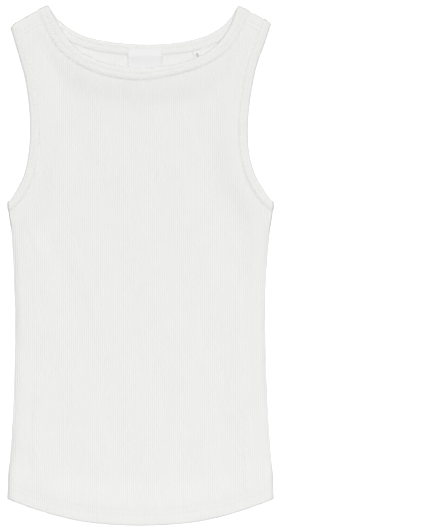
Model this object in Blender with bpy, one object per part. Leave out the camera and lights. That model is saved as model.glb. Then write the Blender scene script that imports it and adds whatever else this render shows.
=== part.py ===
"""A rib-knit tank top laid flat on its back, front up and neck towards +Y.

Every piece of cloth is a wall of constant thickness. Plan positions are given as x, the distance
to the right of the centre line, and up, the height above the lowest point of the hem. The pieces
are stacked as they lie: back outer layer on the floor, hem turnings, bindings folded over the raw
edges, then the front. The origin is at the middle of the footprint, on the floor.
"""

import math
from collections import namedtuple

import bmesh
import bpy
from mathutils import Vector, geometry

MM = 0.001

# Cloth, in millimetres.
CLOTH = 1.0  # wall of the rib knit, and of the label and tab, which are folded double
GAP = 0.3  # air between pieces that touch
HALF = CLOTH / 2
PLY = CLOTH + GAP  # the middle of one layer to the middle of the next
BINDING_HALF = PLY + HALF  # half the height of a folded binding, round the panel at its middle

# Heights of the middles of the two panels above the floor.
BACK_BODY = HALF
FRONT_BODY = BACK_BODY + PLY
BACK_BOUND = BINDING_HALF
FRONT_BOUND = 3 * BINDING_HALF + GAP
FRONT_HEM = BACK_BODY + 3 * PLY
FOLD_RADIUS = (FRONT_BOUND - BACK_BOUND) / 2  # where bound cloth goes from front to back
FOLD_HEIGHT = (FRONT_BOUND + BACK_BOUND) / 2

# Sizes in the plan, in millimetres.
ARM_BAND = 12.4
BACK_NECK_BAND = 13.5
EDGE_INSET = 1.8  # the panel's raw edge, measured from the folded edge of its binding
SEAM_DROP = 8.0  # the shoulder seam lies this far down the front from the shoulder fold
HEM_TURN = 20.0
BLEND = 16.0  # a binding swings round to lie along a fold over this length of its edge
PIT_UP = 403.5  # where the folded edge of an armhole meets the side fold

# How the panels come down from their bound edges: level for HOLD, then sloping over a run.
HOLD = 19.0
FRONT_RUN = 32.0
BACK_RUN = 9.0
HEM_HOLD = 24.0

# Facets.
STATION = 12.0  # spacing of the sections along a binding
SIDE_STEP = 24.0
HEM_STEPS = 22
TURN_STEPS = 6  # round a fold from one layer to the other
HEM_FOLD_STEPS = 4
ROLL_STEPS = TURN_STEPS // 2  # round a quarter turn at the side seam
LATTICE = 46.0  # spacing of the points in the plain middle of a panel
CLEAR = 7.0  # a point beside a bound edge is left out if it is this near to another
SAMPLE = 1.0  # spacing of the points along a smooth line
SLACK = 1.0  # how far a row beside a bound edge may stray before a point of it is left out
INSIDE_ONLY = 1  # the triangulation keeps what is inside the outline
MERGE = 1e-5
BEND = 0.6  # the inside of a binding opens to its full height over this share of that height

# Shoulder: the line that the strap folds over, from the neck to the arm. It is straight inside
# the two bindings.
SHOULDER_COLUMNS = ("left", "up_left", "right", "up_right")
SHOULDER_ROWS = (
    (113.0, 643.3, 119.8, 643.0),
    (128.2, 637.2, 135.8, 635.2),
    (138.6, 631.2, 142.9, 632.3),
    (150.2, 624.7, 149.8, 628.2),
    (160.0, 614.7, 160.9, 619.8),
)

# Armhole: the folded edge of its binding, between the shoulder and the side.
ARMHOLE_COLUMNS = ("up", "left", "right")
ARMHOLE_ROWS = (
    (602.4, 156.6, 155.4),
    (577.6, 149.4, 146.3),
    (552.8, 142.8, 140.1),
    (503.2, 137.3, 133.6),
    (466.0, 138.6, 134.5),
    (436.0, 144.6, 142.4),
    (416.4, 154.1, 153.6),
)

# Side of the body: the outermost cloth at each height.
SIDE_COLUMNS = ("up", "left", "right")
SIDE_ROWS = (
    (30, 165.6, 165.6),
    (64, 164.2, 164.2),
    (94, 161.4, 161.4),
    (154, 157.9, 157.6),
    (230, 156.1, 155.3),
    (300, 157.0, 155.4),
    (355, 159.8, 159.6),
    (370, 161.0, 161.2),
    (384, 163.3, 163.5),
    (391, 163.8, 164.0),
    (402, 164.6, 164.8),
    (406, 164.9, 165.1),
)

# Hem: the lowest cloth at each distance from the centre line.
HEM_COLUMNS = ("out", "up")
HEM_ROWS = ((0, 0), (37, 1.3), (74, 5.4), (104, 12.1), (134, 21.4), (149, 27.0), (166, 33.5))

# Neck: the folded edge of its binding between the shoulder folds, from left to right. The front
# rows also give the width of the binding, and so do its two ends, on the folds.
FRONT_NECK_COLUMNS = ("x", "up", "width")
FRONT_NECK_ROWS = (
    (-104.0, 626.0, 16.1),
    (-89.0, 603.5, 17.2),
    (-69.5, 585.5, 14.9),
    (-42.0, 573.8, 14.5),
    (0.0, 568.3, 14.8),
    (44.6, 573.0, 12.4),
    (76.5, 584.0, 12.5),
    (97.0, 600.0, 14.6),
    (111.0, 620.5, 15.6),
)
FRONT_NECK_ENDS = {"left": 14.6, "right": 17.1}
BACK_NECK_COLUMNS = ("x", "up")
BACK_NECK_ROWS = (
    (-104.2, 630.8),
    (-89.3, 618.4),
    (-69.4, 608.0),
    (-38.0, 600.9),
    (4.0, 597.5),
    (47.0, 600.0),
    (79.4, 607.7),
    (99.2, 618.4),
    (111.6, 630.5),
)

# Crease: a soft ridge low on the left of the front.
CREASE_COLUMNS = ("x", "up")
CREASE_ROWS = ((-127.7, 148.6), (-131.5, 109.0), (-135.2, 69.2))
CREASE_HEIGHT = 1.0
CREASE_HALF = 12.0  # half its width

# The label lies over the binding inside the back neck and comes down onto the back.
LABEL_MIDDLE = 5.6
LABEL_WIDTH = 43.0
LABEL_HIGH = BACK_BOUND + BINDING_HALF + GAP + HALF
LABEL_LOW = BACK_BODY + PLY
LABEL_COLUMNS = ("up", "level")
LABEL_ROWS = ((592.4, LABEL_HIGH), (583.0, LABEL_HIGH), (568.8, LABEL_LOW), (563.4, LABEL_LOW))

# The size tab hangs from the foot of the same binding.
TAB_MIDDLE = 65.7  # the place along the folded edge that it hangs below
TAB_WIDTH = 9.5
TAB_LENGTH = 15.0

WHITE = (0.86, 0.86, 0.85, 1.0)
BINDING_WHITE = (0.84, 0.84, 0.83, 1.0)
LABEL_WHITE = (0.88, 0.88, 0.88, 1.0)
ROUGHNESS = 0.9

SIDES = {"left": -1, "right": 1}
FACES = {"front": 1, "back": -1}
RIGHT = Vector((1, 0, 0))
NECKWARD = Vector((0, 1, 0))
UP = Vector((0, 0, 1))

Section = namedtuple("Section", "place inward normal width")


# --- Lines in the plan ---


def column(rows, columns, name):
    return [row[columns.index(name)] for row in rows]


def side_points(rows, columns, side):
    """The points of one side of a table that gives distances from the centre line."""
    up = "up_" + side if "up_" + side in columns else "up"
    outs = column(rows, columns, side)
    return [Vector((SIDES[side] * out, height, 0)) for out, height in zip(outs, column(rows, columns, up))]


def plan_points(rows, columns):
    """The points of a table that gives x and up."""
    xs, ups = column(rows, columns, "x"), column(rows, columns, "up")
    return [Vector((x, up, 0)) for x, up in zip(xs, ups)]


def smooth(knots):
    """Points along a centripetal Catmull-Rom curve through the knots."""
    ends = [knots[0] * 2 - knots[1], *knots, knots[-1] * 2 - knots[-2]]
    line = []
    for a, b, c, d in zip(ends, ends[1:], ends[2:], ends[3:]):
        first = math.sqrt((b - a).length)
        second = first + math.sqrt((c - b).length)
        third = second + math.sqrt((d - c).length)
        count = max(2, round((c - b).length / SAMPLE))
        for i in range(count):
            now = first + (second - first) * i / count
            ab = a.lerp(b, now / first)
            bc = b.lerp(c, (now - first) / (second - first))
            cd = c.lerp(d, (now - second) / (third - second))
            abc = ab.lerp(bc, now / second)
            bcd = bc.lerp(cd, (now - first) / (third - first))
            line.append(abc.lerp(bcd, (now - first) / (second - first)))
    return [*line, knots[-1].copy()]


def plan(point):
    return Vector((point.x, point.y, 0))


def length(line):
    return sum((plan(b) - plan(a)).length for a, b in zip(line, line[1:]))


def at(line, distance):
    """The point of a line at a distance along it in the plan."""
    for a, b in zip(line, line[1:]):
        span = (plan(b) - plan(a)).length
        if distance <= span:
            return a.lerp(b, max(0.0, distance) / span)
        distance -= span
    return line[-1].copy()


def distance_to(line, point):
    """The plan distance from a point to a line."""
    nearest = math.inf
    for a, b in zip(line, line[1:]):
        foot, share = geometry.intersect_point_line(point, a, b)
        foot = a if share < 0 else b if share > 1 else foot
        nearest = min(nearest, (foot - point).length)
    return nearest


def fade(x):
    """1 up to 0, then straight down to 0 at 1."""
    return min(1.0, max(0.0, 1.0 - x))


def hem_up(x):
    """The height of the lowest cloth at a distance from the centre line."""
    out = abs(x)
    outs, ups = column(HEM_ROWS, HEM_COLUMNS, "out"), column(HEM_ROWS, HEM_COLUMNS, "up")
    span = next((i for i in range(len(outs) - 2) if out < outs[i + 1]), len(outs) - 2)
    slopes = [(ups[i + 1] - ups[i]) / (outs[i + 1] - outs[i]) for i in range(len(outs) - 1)]
    tangents = [0.0, *((a + b) / 2 for a, b in zip(slopes, slopes[1:])), slopes[-1]]
    run = outs[span + 1] - outs[span]
    t = (out - outs[span]) / run
    return (
        ups[span] * (1 + 2 * t) * (1 - t) ** 2
        + run * tangents[span] * t * (1 - t) ** 2
        + ups[span + 1] * t * t * (3 - 2 * t)
        + run * tangents[span + 1] * t * t * (t - 1)
    )


SHOULDERS = {side: side_points(SHOULDER_ROWS, SHOULDER_COLUMNS, side) for side in SIDES}
SIDE_LINES = {side: smooth(side_points(SIDE_ROWS, SIDE_COLUMNS, side)) for side in SIDES}


def side_axis(side, up, radius):
    """The plan point that the side's fold turns round at a height."""
    for a, b in zip(SIDE_LINES[side], SIDE_LINES[side][1:]):
        if a.y <= up <= b.y:
            out = abs(a.lerp(b, (up - a.y) / (b.y - a.y)).x)
            return Vector((SIDES[side] * (out - HALF - radius), up, 0))
    raise ValueError(f"no side at {up}")


def arm_line(side):
    """The folded edge of an armhole from the shoulder to the side. Its z is the binding's width."""
    knots = side_points(ARMHOLE_ROWS, ARMHOLE_COLUMNS, side)
    knots = [SHOULDERS[side][-1], *knots, side_axis(side, PIT_UP, FOLD_RADIUS)]
    return smooth([plan(knot) + UP * ARM_BAND for knot in knots])


def neck_line(points, widths):
    """A folded edge of the neck from the left shoulder to the right. Its z is the binding's width."""
    knots = [SHOULDERS["left"][0], *points, SHOULDERS["right"][0]]
    return smooth([plan(knot) + UP * width for knot, width in zip(knots, widths, strict=True)])


def front_neck_line():
    points = plan_points(FRONT_NECK_ROWS, FRONT_NECK_COLUMNS)
    widths = column(FRONT_NECK_ROWS, FRONT_NECK_COLUMNS, "width")
    return neck_line(points, [FRONT_NECK_ENDS["left"], *widths, FRONT_NECK_ENDS["right"]])


def back_neck_line():
    points = plan_points(BACK_NECK_ROWS, BACK_NECK_COLUMNS)
    return neck_line(points, [BACK_NECK_BAND] * (len(points) + 2))


ARM_LINES = {side: arm_line(side) for side in SIDES}
NECK_LINES = {"front": front_neck_line(), "back": back_neck_line()}
FLAT_ARMS = [[plan(point) for point in line] for line in ARM_LINES.values()]
FLAT_NECKS = {layer: [plan(point) for point in line] for layer, line in NECK_LINES.items()}
CREASE = plan_points(CREASE_ROWS, CREASE_COLUMNS)


def from_bound(layer, point):
    """The distance from a bound edge of a panel, or from the fold that the bound edges run to."""
    lines = [FLAT_NECKS[layer], *FLAT_ARMS, *SHOULDERS.values()]
    return min(distance_to(line, point) for line in lines)


def level(layer, point):
    """The height of the middle of a panel above the floor at a point of the plan."""
    past = from_bound(layer, point) - HOLD
    if layer == "back":
        return BACK_BODY + (BACK_BOUND - BACK_BODY) * fade(past / BACK_RUN)
    above_hem = point.y - hem_up(point.x) - HEM_HOLD
    body = max(
        FRONT_BODY + (FRONT_BOUND - FRONT_BODY) * fade(past / FRONT_RUN),
        FRONT_BODY + (FRONT_HEM - FRONT_BODY) * fade(above_hem / FRONT_RUN),
    )
    return body + CREASE_HEIGHT * fade(distance_to(CREASE, point) / CREASE_HALF)


# --- Bindings ---


def shoulder_inward(side, end):
    """The direction along a shoulder fold into the strap, from its neck or its arm end."""
    line = SHOULDERS[side] if end == "neck" else SHOULDERS[side][::-1]
    return (line[1] - line[0]).normalized()


def pit_inward(side):
    """The direction down the side fold from the armhole."""
    top = side_axis(side, PIT_UP, FOLD_RADIUS)
    foot = side_axis(side, PIT_UP - ARM_BAND, FOLD_RADIUS)
    return (foot - top).normalized()


def square_to(direction, away):
    """The plan direction at right angles to another that points away from the cloth."""
    across = UP.cross(direction)
    return across if across.dot(away) > 0 else -across


def section_at(line, distance, ends, height, normal):
    """The section of a binding at a distance along its folded edge."""
    first, last = ends
    start = plan(at(line, SAMPLE) - line[0])
    hand = 1 if UP.cross(start).dot(first) > 0 else -1
    place = at(line, distance)
    ahead = plan(at(line, distance + SAMPLE) - at(line, distance - SAMPLE))
    inward = hand * UP.cross(ahead).normalized()
    inward = inward.lerp(first, fade(distance / BLEND))
    inward = inward.lerp(last, fade((length(line) - distance) / BLEND)).normalized()
    return Section(plan(place) + UP * height, inward, normal, place.z)


def course(line, ends, last_step, layer):
    """A binding's sections along one layer. The first step is the drop to the shoulder seam."""
    height = FRONT_BOUND if layer == "front" else BACK_BOUND
    total = length(line)
    middle = total - SEAM_DROP - last_step
    count = round(middle / STATION)
    distances = [0.0, *(SEAM_DROP + middle * i / count for i in range(count + 1)), total]
    return [section_at(line, distance, ends, height, UP * FACES[layer]) for distance in distances]


def turn(start, end, outward):
    """Sections over a fold, between a section of one layer and the matching one of the other."""
    found = []
    for i in range(1, TURN_STEPS):
        share = i / TURN_STEPS
        normal = start.normal * math.cos(math.pi * share) + outward * math.sin(math.pi * share)
        axis = plan(start.place) + UP * FOLD_HEIGHT
        inward = start.inward.lerp(end.inward, share).normalized()
        width = start.width + (end.width - start.width) * share
        found.append(Section(axis + normal * FOLD_RADIUS, inward, normal, width))
    return found


NECK_ENDS = (shoulder_inward("left", "neck"), shoulder_inward("right", "neck"))
NECK = {layer: course(NECK_LINES[layer], NECK_ENDS, SEAM_DROP, layer) for layer in FACES}
ARMS = {
    side: {
        layer: course(ARM_LINES[side], (shoulder_inward(side, "arm"), pit_inward(side)), STATION, layer)
        for layer in FACES
    }
    for side in SIDES
}


def binding_profile(width):
    """A binding's closed section: depth into the cloth, and height from the panel's middle."""
    inner = HALF + GAP
    corner = BINDING_HALF * math.sqrt(0.5)
    outside = [
        (width, BINDING_HALF),
        (BINDING_HALF, BINDING_HALF),
        (BINDING_HALF - corner, corner),
        (0.0, 0.0),
    ]
    inside = [(CLOTH, 0.0), (CLOTH + inner * BEND, inner), (width, inner)]
    outside_below = [(depth, -height) for depth, height in reversed(outside)][1:]
    inside_below = [(depth, -height) for depth, height in reversed(inside)]
    return [*outside, *outside_below, *inside_below, *inside[1:]]


def ring(front, back, first_away, last_away):
    """A binding all round its opening, over the folds at both ends of its courses."""
    sections = [
        *front,
        *turn(front[-1], back[-1], square_to(front[-1].inward, last_away)),
        *reversed(back),
        *turn(back[0], front[0], square_to(back[0].inward, first_away)),
    ]
    points, faces = [], []
    for section in sections:
        for depth, height in binding_profile(section.width):
            points.append(section.place + section.inward * depth + section.normal * height)
    around = len(points) // len(sections)
    for i in range(len(sections)):
        here, there = i * around, (i + 1) % len(sections) * around
        for j in range(around):
            k = (j + 1) % around
            faces.append((here + j, here + k, there + k, there + j))
    return points, faces


# --- Panels ---


class Sheet:
    """The middle of a panel: the points of its pattern, where each lies and which way it faces."""

    def __init__(self, layer):
        self.layer, self.face = layer, UP * FACES[layer]
        self.pattern, self.places, self.normals = [], [], []
        self.folds = []

    def add(self, pattern, place, normal):
        self.pattern.append(pattern)
        self.places.append(place)
        self.normals.append(normal)
        return len(self.pattern) - 1

    def lay(self, point):
        """Add a point that lies flat at the panel's level."""
        return self.add(plan(point), plan(point) + UP * level(self.layer, point), self.face)

    def fold(self, points):
        self.folds.extend(zip(points, points[1:]))

    def triangles(self, outline):
        flat_points = [point.xy for point in self.pattern]
        _, _, faces, sources, _, _ = geometry.delaunay_2d_cdt(
            flat_points, self.folds, [outline], INSIDE_ONLY, MERGE
        )
        return [tuple(sources[corner][0] for corner in face) for face in faces]


def side_radius(side, up):
    """The radius and the height of the side's fold at a height up the body."""
    out = side_axis(side, up, -HALF)
    levels = [level(layer, out) for layer in FACES]
    return (levels[0] - levels[1]) / 2, (levels[0] + levels[1]) / 2


def roll_point(sheet, side, up, step):
    """Add a point of the quarter turn at the side, which ends half a gap from the middle."""
    radius, height = side_radius(side, up)
    angle = math.pi / 2 * step / ROLL_STEPS
    axis = side_axis(side, up, radius)
    outward = RIGHT * SIDES[side]
    normal = sheet.face * math.cos(angle) + outward * math.sin(angle)
    rise = GAP / 2 + (radius - GAP / 2) * math.cos(angle)
    place = axis + UP * height + sheet.face * rise + outward * radius * math.sin(angle)
    return sheet.add(axis + outward * radius * angle, place, normal)


def side_ups(side):
    """Heights of the stations up a side, above the one at the hem."""
    foot = hem_up(side_axis(side, PIT_UP, 0).x)
    last = PIT_UP - HOLD - FRONT_RUN
    first = foot + HEM_HOLD + FRONT_RUN
    count = round((last - first) / SIDE_STEP)
    even = [first + (last - first) * i / count for i in range(count + 1)]
    return [foot + HEM_HOLD, *even, PIT_UP - HOLD - BACK_RUN, PIT_UP - HOLD, PIT_UP - EDGE_INSET]


def hem_rows(sheet):
    """Add the turned-up hem: a row of points for each step of its fold, and its raw edge."""
    radius = PLY / 2
    outer = FRONT_HEM if sheet.layer == "front" else BACK_BODY
    ends = [hem_corner(side).x for side in SIDES]
    rows = []
    for step in range(HEM_FOLD_STEPS + 2):
        angle = math.pi * min(step, HEM_FOLD_STEPS) / HEM_FOLD_STEPS
        back_up = HEM_TURN - HALF - radius if step > HEM_FOLD_STEPS else 0.0
        row = []
        for i in range(HEM_STEPS + 1):
            x = ends[0] + (ends[1] - ends[0]) * i / HEM_STEPS
            start = Vector((x, hem_up(x) + HALF + radius, 0))
            normal = sheet.face * math.cos(angle) - NECKWARD * math.sin(angle)
            axis = start + UP * outer - sheet.face * radius
            place = axis + normal * radius + NECKWARD * back_up
            row.append(sheet.add(start - NECKWARD * (radius * angle + back_up), place, normal))
        rows.append(row)
    for row in rows[:-1]:
        sheet.fold(row)
    return rows


def hem_corner(side):
    """Where the hem's fold ends, at the start of the side's quarter turn."""
    up = hem_up(side_axis(side, PIT_UP, 0).x)
    return side_axis(side, up, side_radius(side, up)[0])


def side_rolls(sheet, side, corner):
    """Add one side's quarter turn. Returns its outline from the hem to the armhole."""
    foot = hem_corner(side)
    columns = [[corner], *([] for _ in range(ROLL_STEPS))]
    for step in range(1, ROLL_STEPS + 1):
        columns[step].append(roll_point(sheet, side, foot.y + GAP / 2, step))
    for up in side_ups(side):
        for step in range(ROLL_STEPS + 1):
            columns[step].append(roll_point(sheet, side, up, step))
    for points in columns[:-1]:
        sheet.fold(points)
    top = [points[-1] for points in columns]
    return [*(points[0] for points in columns[1:-1]), *columns[-1], *reversed(top[:-1])]


def inside(section, depth=EDGE_INSET):
    return plan(section.place) + section.inward * depth


def shoulder_seam(side, shift):
    """The shoulder seam from neck to arm, moved down the front by a shift."""
    neck = NECK["front"] if side == "left" else NECK["front"][::-1]
    ends = []
    for sections in (neck, ARMS[side]["front"]):
        along = (inside(sections[2]) - inside(sections[1])).normalized()
        ends.append(inside(sections[1]) + along * shift)
    line = SHOULDERS[side]
    shares = [length(line[: i + 1]) / length(line) for i in range(len(line))]
    return [ends[0].lerp(ends[1], share) for share in shares]


def strap_top(sheet, side):
    """Add the end of a strap. Returns its outline from the arm to the neck."""
    if sheet.layer == "front":
        return [sheet.lay(point) for point in reversed(shoulder_seam(side, GAP / 2))]
    line = SHOULDERS[side]
    stops = [
        line[0] + shoulder_inward(side, "neck") * EDGE_INSET,
        *line[1:-1],
        line[-1] + shoulder_inward(side, "arm") * EDGE_INSET,
    ]
    outward = [
        square_to(b - a, NECKWARD)
        for a, b in zip([stops[0], *stops[:-1]], [*stops[1:], stops[-1]])
    ]
    outward = [direction.normalized() for direction in outward]
    rows = []
    for step in range(TURN_STEPS + 1):
        angle = math.pi * step / TURN_STEPS
        row = []
        for stop, away in zip(stops, outward):
            normal = sheet.face * math.cos(angle) + away * math.sin(angle)
            place = stop + UP * FOLD_HEIGHT + normal * FOLD_RADIUS
            row.append(sheet.add(stop + away * FOLD_RADIUS * angle, place, normal))
        rows.append(row)
        sheet.fold(row)
    flap = []
    for stop, away, point in zip(stops, outward, shoulder_seam(side, -GAP / 2)):
        pattern = stop + away * (math.pi * FOLD_RADIUS + SEAM_DROP)
        flap.append(sheet.add(pattern, point + UP * FRONT_BOUND, UP))
    at_arm = [row[-1] for row in rows]
    at_neck = [row[0] for row in rows]
    return [*at_arm, *reversed(flap), *reversed(at_neck)]


def within(outline, point):
    """Whether a point of the pattern is inside a closed outline."""
    crossings = 0
    for a, b in zip(outline, [*outline[1:], outline[0]]):
        if (a.y > point.y) != (b.y > point.y):
            crossings += point.x < a.x + (point.y - a.y) * (b.x - a.x) / (b.y - a.y)
    return crossings % 2 == 1


def middle_points(layer):
    """Points for the middle of a panel, each with the room that it needs, the important ones first."""
    run = FRONT_RUN if layer == "front" else BACK_RUN
    found = []
    for depth in (HOLD, HOLD + run):
        for sections in (NECK[layer], ARMS["left"][layer], ARMS["right"][layer]):
            points = [inside(section, depth) for section in sections[2:-1]]
            points = [point for point in points if from_bound(layer, point) > depth - SLACK]
            found += [(point, CLEAR) for point in points]
    ends = [hem_corner(side).x for side in SIDES]
    xs = [ends[0] + (ends[1] - ends[0]) * i / HEM_STEPS for i in range(1, HEM_STEPS)]
    if layer == "front":
        for height in (HEM_HOLD, HEM_HOLD + FRONT_RUN):
            found += [(Vector((x, hem_up(x) + height, 0)), CLEAR) for x in xs]
        across = square_to(CREASE[-1] - CREASE[0], RIGHT).normalized()
        for offset in (0, -CREASE_HALF, CREASE_HALF):
            found += [(point + across * offset, CLEAR) for point in CREASE]
    across = math.ceil(max(column(SIDE_ROWS, SIDE_COLUMNS, "left")) / LATTICE)
    for i in range(math.ceil(SHOULDERS["left"][0].y / LATTICE)):
        for j in range(-across, across + 1):
            point = Vector(((j + i % 2 / 2) * LATTICE, i * LATTICE, 0))
            found.append((point, LATTICE / 2))
    return found


def panel(layer):
    """A panel: its hem, side turns, bound edges and strap ends, and the points between."""
    sheet = Sheet(layer)
    hem = hem_rows(sheet)
    chains = {}
    for side, end in (("right", -1), ("left", 0)):
        arm = ARMS[side][layer]
        chain = [row[end] for row in reversed(hem[:-1])]
        chain += side_rolls(sheet, side, hem[0][end])
        chain += [sheet.lay(inside(section)) for section in reversed(arm[2:-1])]
        if layer == "back":
            chain.append(sheet.lay(inside(arm[1])))
        chains[side] = [*chain, *strap_top(sheet, side)]
    neck = NECK[layer][2:-2] if layer == "front" else NECK[layer][1:-1]
    top = [sheet.lay(inside(section)) for section in reversed(neck)]
    outline = [*hem[-1], *chains["right"], *top, *reversed(chains["left"])]
    edge = [sheet.pattern[i] for i in outline]
    closed = [*edge, edge[0]]
    for point, room in middle_points(layer):
        crowded = any((other - point).length < room for other in sheet.pattern)
        if not crowded and within(edge, point) and distance_to(closed, point) > CLEAR / 2:
            sheet.lay(point)
    return wall(sheet.places, sheet.normals, sheet.triangles(outline))


def wall(places, normals, faces):
    """Thicken a surface by half the cloth to each side."""
    points = [place + normal * HALF for place, normal in zip(places, normals)]
    points += [place - normal * HALF for place, normal in zip(places, normals)]
    count = len(places)
    sides = {(a, b) for face in faces for a, b in zip(face, [*face[1:], face[0]])}
    rim = [(b, a, a + count, b + count) for a, b in sorted(sides) if (b, a) not in sides]
    under = [tuple(corner + count for corner in reversed(face)) for face in faces]
    return points, [*faces, *under, *rim]


# --- Label and size tab ---


def strip(path, across, width):
    """A straight-sided piece of cloth along a path."""
    places = [point + across * reach for point in path for reach in (-width / 2, width / 2)]
    faces = [(i, i + 1, i + 3, i + 2) for i in range(0, len(places) - 2, 2)]
    return wall(places, [UP] * len(places), faces)


def label():
    ups, levels = (column(LABEL_ROWS, LABEL_COLUMNS, name) for name in LABEL_COLUMNS)
    path = [Vector((LABEL_MIDDLE, up, height)) for up, height in zip(ups, levels)]
    return strip(path, RIGHT, LABEL_WIDTH)


def tab():
    line = NECK_LINES["back"]
    reach = next(i for i, point in enumerate(line) if point.x >= TAB_MIDDLE)
    section = section_at(line, length(line[: reach + 1]), NECK_ENDS, BACK_BOUND, -UP)
    start = BACK_NECK_BAND + GAP
    path = []
    for depth in (start, HOLD, start + TAB_LENGTH):
        point = inside(section, depth)
        path.append(point + UP * (level("back", point) + PLY))
    return strip(path, UP.cross(section.inward), TAB_WIDTH)


# --- Objects ---


def material(name, colour):
    made = bpy.data.materials.new(name)
    made.use_nodes = True
    shader = made.node_tree.nodes["Principled BSDF"]
    shader.inputs["Base Color"].default_value = colour
    shader.inputs["Roughness"].default_value = ROUGHNESS
    made.diffuse_color = colour
    return made


def add_object(name, points, faces, colour):
    mesh = bpy.data.meshes.new(name)
    mesh.from_pydata([point * MM for point in points], [], faces)
    shape = bmesh.new()
    shape.from_mesh(mesh)
    bmesh.ops.triangulate(shape, faces=shape.faces, quad_method="SHORT_EDGE")
    bmesh.ops.recalc_face_normals(shape, faces=shape.faces)
    shape.to_mesh(mesh)
    shape.free()
    mesh.materials.append(material(name, colour))
    bpy.context.scene.collection.objects.link(bpy.data.objects.new(name, mesh))


def main():
    for old in list(bpy.data.objects):
        bpy.data.objects.remove(old)
    arms = {}
    for side, courses in ARMS.items():
        piece = ring(courses["front"], courses["back"], NECKWARD, RIGHT * SIDES[side])
        arms[f"armhole_binding_{side}"] = piece
    pieces = {
        "front_panel": (panel("front"), WHITE),
        "back_panel": (panel("back"), WHITE),
        "neck_binding": (ring(NECK["front"], NECK["back"], NECKWARD, NECKWARD), BINDING_WHITE),
        **{name: (piece, BINDING_WHITE) for name, piece in arms.items()},
        "neck_label": (label(), LABEL_WHITE),
        "size_tab": (tab(), LABEL_WHITE),
    }
    points = [point for (found, _), _ in pieces.values() for point in found]
    low, high = (Vector([end(p[axis] for p in points) for axis in range(3)]) for end in (min, max))
    middle = plan((low + high) / 2)
    for name, ((found, faces), colour) in pieces.items():
        add_object(name, [point - middle for point in found], faces, colour)


main()
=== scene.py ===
import math

import bmesh
import bpy
import numpy as np
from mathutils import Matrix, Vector, geometry


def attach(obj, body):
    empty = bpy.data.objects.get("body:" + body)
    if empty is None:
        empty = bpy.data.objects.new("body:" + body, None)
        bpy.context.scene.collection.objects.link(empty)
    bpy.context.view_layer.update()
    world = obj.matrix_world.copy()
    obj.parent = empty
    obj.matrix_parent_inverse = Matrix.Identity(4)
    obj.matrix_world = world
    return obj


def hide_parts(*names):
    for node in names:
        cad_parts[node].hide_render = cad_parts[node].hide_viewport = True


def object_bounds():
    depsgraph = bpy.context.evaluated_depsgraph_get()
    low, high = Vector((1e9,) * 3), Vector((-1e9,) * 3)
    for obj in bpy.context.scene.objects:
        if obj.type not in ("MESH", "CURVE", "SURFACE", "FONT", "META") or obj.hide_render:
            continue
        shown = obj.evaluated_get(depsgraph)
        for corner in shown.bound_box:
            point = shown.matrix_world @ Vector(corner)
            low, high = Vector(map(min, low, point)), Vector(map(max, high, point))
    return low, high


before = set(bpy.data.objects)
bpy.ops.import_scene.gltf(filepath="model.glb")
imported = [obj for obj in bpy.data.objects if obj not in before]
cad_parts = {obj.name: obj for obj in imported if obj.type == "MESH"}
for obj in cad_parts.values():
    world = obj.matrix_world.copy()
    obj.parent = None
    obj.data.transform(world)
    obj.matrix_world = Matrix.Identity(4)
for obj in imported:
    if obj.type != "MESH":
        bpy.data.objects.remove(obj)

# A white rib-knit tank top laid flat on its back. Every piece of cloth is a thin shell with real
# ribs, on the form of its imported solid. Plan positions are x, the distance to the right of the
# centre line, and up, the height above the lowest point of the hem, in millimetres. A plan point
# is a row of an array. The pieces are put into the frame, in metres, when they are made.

CAD_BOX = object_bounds()
MM = 0.001
FOOT = -CAD_BOX[0].y / MM  # how far the origin is above the lowest point of the hem

# --- Sizes of the garment, as its solids have them ---

CLOTH = 1.0
GAP = 0.3
HALF = CLOTH / 2
PLY = CLOTH + GAP
BINDING_HALF = PLY + HALF
BACK_BODY = HALF
FRONT_BODY = BACK_BODY + PLY
BACK_BOUND = BINDING_HALF
FRONT_BOUND = 3 * BINDING_HALF + GAP
FRONT_HEM = BACK_BODY + 3 * PLY
FOLD_RADIUS = (FRONT_BOUND - BACK_BOUND) / 2
FOLD_HEIGHT = (FRONT_BOUND + BACK_BOUND) / 2
ARM_BAND = 12.4
BACK_NECK_BAND = 13.5
EDGE_INSET = 1.8
SEAM_DROP = 8.0
HEM_TURN = 20.0
BLEND = 16.0  # the ends of a binding turn its direction over this length
PIT_UP = 403.5
HOLD = 19.0  # the cloth keeps the height of its binding this far in
RUNS = {"front": 32.0, "back": 9.0}  # and comes down over this
HEM_HOLD = 24.0  # the same at the hem
HEM_RUN = 32.0
HEM_START = HALF + PLY / 2  # from the lowest cloth up to where the hem's fold begins on top
SAMPLE = 1.0  # between the points of a line

SHOULDER_COLUMNS = ("left", "up_left", "right", "up_right")
SHOULDER_ROWS = (
    (113.0, 643.3, 119.8, 643.0),
    (128.2, 637.2, 135.8, 635.2),
    (138.6, 631.2, 142.9, 632.3),
    (150.2, 624.7, 149.8, 628.2),
    (160.0, 614.7, 160.9, 619.8),
)
ARMHOLE_COLUMNS = ("up", "left", "right")
ARMHOLE_ROWS = (
    (602.4, 156.6, 155.4),
    (577.6, 149.4, 146.3),
    (552.8, 142.8, 140.1),
    (503.2, 137.3, 133.6),
    (466.0, 138.6, 134.5),
    (436.0, 144.6, 142.4),
    (416.4, 154.1, 153.6),
)
SIDE_COLUMNS = ("up", "left", "right")
SIDE_ROWS = (
    (30, 165.6, 165.6),
    (64, 164.2, 164.2),
    (94, 161.4, 161.4),
    (154, 157.9, 157.6),
    (230, 156.1, 155.3),
    (300, 157.0, 155.4),
    (355, 159.8, 159.6),
    (370, 161.0, 161.2),
    (384, 163.3, 163.5),
    (391, 163.8, 164.0),
    (402, 164.6, 164.8),
    (406, 164.9, 165.1),
)
HEM_COLUMNS = ("out", "up")
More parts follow.
